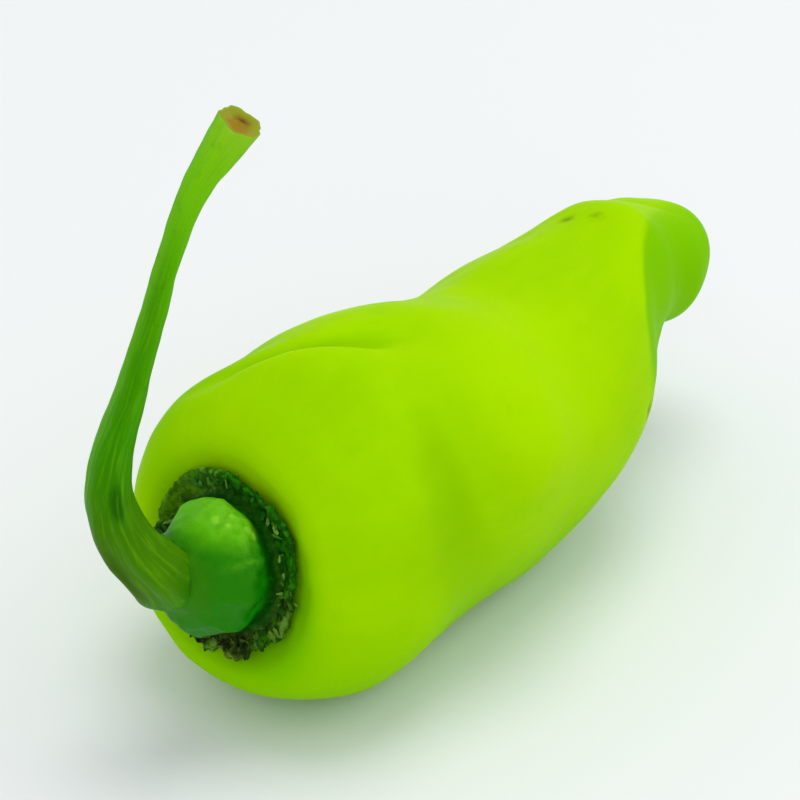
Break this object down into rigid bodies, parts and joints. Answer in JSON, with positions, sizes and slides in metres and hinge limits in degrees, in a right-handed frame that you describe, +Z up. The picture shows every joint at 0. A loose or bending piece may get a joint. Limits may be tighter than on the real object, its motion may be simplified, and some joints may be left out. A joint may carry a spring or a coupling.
{
  "type": "pimenta de cheiro pepper",
  "caption": "Fresh pale green aromatic pepper lying on its belly: a waisted, softly lobed pod with a knob at the tip, a ragged dark calyx and a stem that bends up and back.",
  "frame": {"origin": "the middle of the flat spot on the belly that the pepper rests on", "axes": "+X along the pod from the calyx to the blossom tip, +Y to the left of that, +Z up"},
  "size_m": [0.0855, 0.0322, 0.0596],
  "materials": {
    "pod": "thin waxy yellow-green skin with a soft gloss",
    "calyx": "glossy bright green dome with a dry dark green and brown margin",
    "stem": "satin green, olive at the bend and pale at the brown cut end"
  },
  "bodies": {
    "root": {"pod": "pod", "calyx": "calyx", "stem": "stem"}
  },
  "joints": []
}
